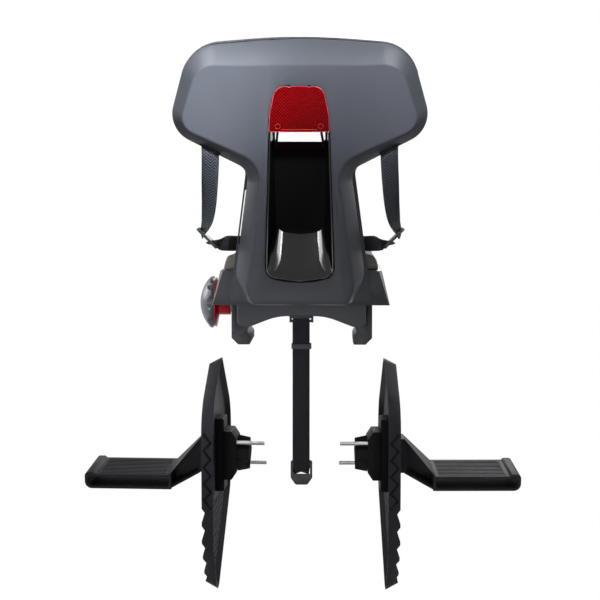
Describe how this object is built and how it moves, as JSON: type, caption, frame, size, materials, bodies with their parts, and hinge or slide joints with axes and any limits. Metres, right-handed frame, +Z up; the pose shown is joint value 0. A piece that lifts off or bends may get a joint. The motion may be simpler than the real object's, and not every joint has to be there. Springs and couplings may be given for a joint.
{
  "type": "child bike seat",
  "caption": "Rear-carrier child bike seat with padded shell, harness, knob-tightened rail clamp, safety strap, and footrests with spoke guards that bolt to the stays.",
  "frame": {"origin": "midway between the carrier's two rails, level with their tops, at the clamp's middle", "axes": "+Z up, +Y in the riding direction, +X to the rider's right"},
  "size_m": [0.675, 0.3437, 0.8302],
  "materials": {
    "shell_grey": "satin dark grey moulding",
    "pan_grey": "satin charcoal moulding",
    "black_plastic": "satin black moulding",
    "gloss_black": "gloss black moulding",
    "reflector_red": "clear red prismatic lens",
    "red_plastic": "gloss red moulding",
    "pad_cloth": "woven cover over foam",
    "webbing": "herringbone webbing",
    "guard_grey": "satin grey moulding",
    "rubber_block": "moulded rubber",
    "zinc_steel": "zinc plated steel"
  },
  "bodies": {
    "seat": {"back_shell": "shell_grey", "front_shell": "shell_grey", "vent_duct": "gloss_black", "reflector_lens": "reflector_red", "reflector_bracket": "black_plastic", "shell_screws": "zinc_steel", "back_pad": "pad_cloth", "seat_pan": "pan_grey", "seat_pad": "pad_cloth", "back_bolts": "zinc_steel", "clamp_housing": "black_plastic", "housing_bolts": "zinc_steel", "buckle_body": "black_plastic", "crotch_strap": "webbing", "crotch_anchor": "black_plastic", "safety_anchor": "black_plastic", "safety_strap": "webbing", "safety_keeper": "black_plastic", "safety_buckle": "black_plastic", "right_shoulder_strap": "webbing", "left_shoulder_strap": "webbing", "right_strap_adjuster": "black_plastic", "left_strap_adjuster": "black_plastic", "right_lap_strap": "webbing", "left_lap_strap": "webbing", "right_buckle_tongue": "black_plastic", "left_buckle_tongue": "black_plastic", "right_spoke_guard": "guard_grey", "left_spoke_guard": "guard_grey", "right_slide_rail": "black_plastic", "left_slide_rail": "black_plastic", "right_rail_screws": "zinc_steel", "left_rail_screws": "zinc_steel", "right_stay_bracket": "black_plastic", "left_stay_bracket": "black_plastic", "right_stay_block": "rubber_block", "left_stay_block": "rubber_block", "right_stay_studs": "zinc_steel", "left_stay_studs": "zinc_steel"},
    "knob": {"spindle": "zinc_steel", "tension_knob": "shell_grey", "tension_collar": "red_plastic"},
    "left_jaw": {"left_jaw": "black_plastic", "left_jaw_nut": "zinc_steel"},
    "right_jaw": {"right_jaw": "black_plastic", "right_jaw_nut": "zinc_steel"},
    "left_footrest": {"left_footrest": "guard_grey"},
    "right_footrest": {"right_footrest": "guard_grey"},
    "buckle_button": {"buckle_button": "red_plastic"}
  },
  "joints": [
    {"name": "knob_turn", "type": "hinge", "parent": "seat", "child": "knob", "pos_m": [0, 0, 0.032], "axis": [1, 0, 0], "range_deg": [-306, 630]},
    {"name": "left_jaw_slide", "type": "slide", "parent": "seat", "child": "left_jaw", "axis": [1, 0, 0], "range_m": [-0.0086, 0.0176]},
    {"name": "right_jaw_slide", "type": "slide", "parent": "seat", "child": "right_jaw", "axis": [1, 0, 0], "range_m": [-0.0176, 0.0086]},
    {"name": "left_footrest_height", "type": "slide", "parent": "seat", "child": "left_footrest", "axis": [0, 0, 1], "range_m": [-0.018, 0.018]},
    {"name": "right_footrest_height", "type": "slide", "parent": "seat", "child": "right_footrest", "axis": [0, 0, 1], "range_m": [-0.018, 0.018]},
    {"name": "buckle_press", "type": "slide", "parent": "seat", "child": "buckle_button", "axis": [0, -0.5736, -0.8192], "range_m": [0, 0.0025], "stiffness_N_per_m": 800, "springref_m": -0.002}
  ],
  "couplings": [
    {"joint": "left_jaw_slide", "follows": "knob_turn", "m_per_rad": 0.0015915},
    {"joint": "right_jaw_slide", "follows": "knob_turn", "m_per_rad": -0.0015915}
  ]
}
